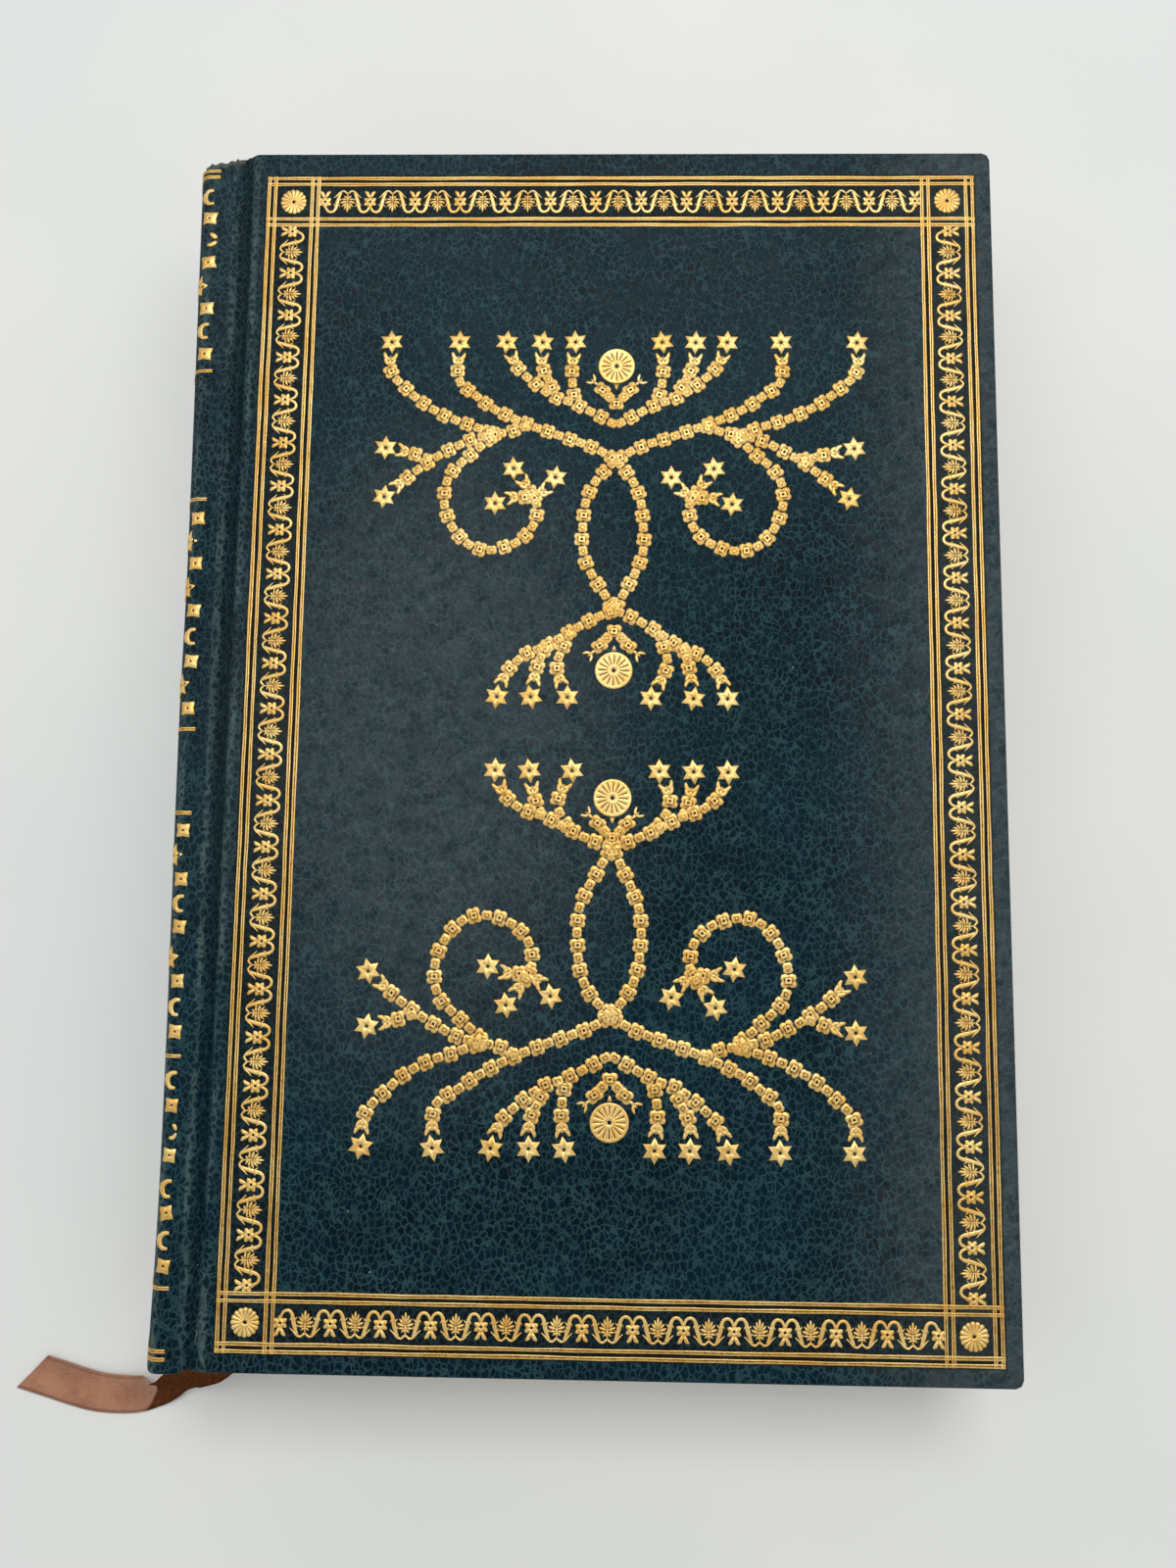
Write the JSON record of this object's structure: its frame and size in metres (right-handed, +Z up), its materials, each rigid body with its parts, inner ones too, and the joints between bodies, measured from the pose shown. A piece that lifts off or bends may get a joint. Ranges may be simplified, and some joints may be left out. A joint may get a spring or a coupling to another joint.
{
  "type": "leather-bound book",
  "caption": "Closed antique book in dark leather with gold-tooled front cover, rounded spine, hinged covers and a ribbon marker.",
  "frame": {"origin": "centre of the closed book's outline on the table, at the underside of the back cover", "axes": "+X from the spine to the fore-edge, +Y from tail to head, +Z up out of the front cover"},
  "size_m": [0.1681, 0.221, 0.0351],
  "materials": {
    "leather": "satin, pebble grain",
    "gold": "burnished gold leaf",
    "pages": "matt, yellowed edges",
    "endpaper": "matt",
    "board": "matt",
    "lining": "matt open cloth and paper",
    "silk": "sewn silk",
    "ribbon": "faded satin ribbon"
  },
  "bodies": {
    "book_block": {"text_block": "pages", "spine_lining": "lining", "head_band": "silk", "tail_band": "silk", "front_flyleaf": "endpaper", "back_flyleaf": "endpaper", "spine_inlay": "board", "spine_leather": "leather", "spine_gilding": "gold", "front_joint_leather": "leather", "back_joint_leather": "leather", "front_joint_gilding": "gold", "back_joint_gilding": "gold", "ribbon_marker": "ribbon"},
    "front_cover": {"front_board": "board", "front_leather": "leather", "front_pastedown": "endpaper", "front_fillets": "gold", "front_vine_roll": "gold", "front_sprays": "gold"},
    "back_cover": {"back_board": "board", "back_leather": "leather", "back_pastedown": "endpaper"}
  },
  "joints": [
    {"name": "front_hinge", "type": "hinge", "parent": "book_block", "child": "front_cover", "pos_m": [-0.05844, 0, 0.03338], "axis": [0, -1, 0], "range_deg": [0, 178], "deforming": ["front_joint_leather", "front_joint_gilding"]},
    {"name": "back_hinge", "type": "hinge", "parent": "book_block", "child": "back_cover", "pos_m": [-0.05844, 0, 0.00162], "axis": [0, 1, 0], "range_deg": [0, 178], "deforming": ["back_joint_leather", "back_joint_gilding"]}
  ]
}
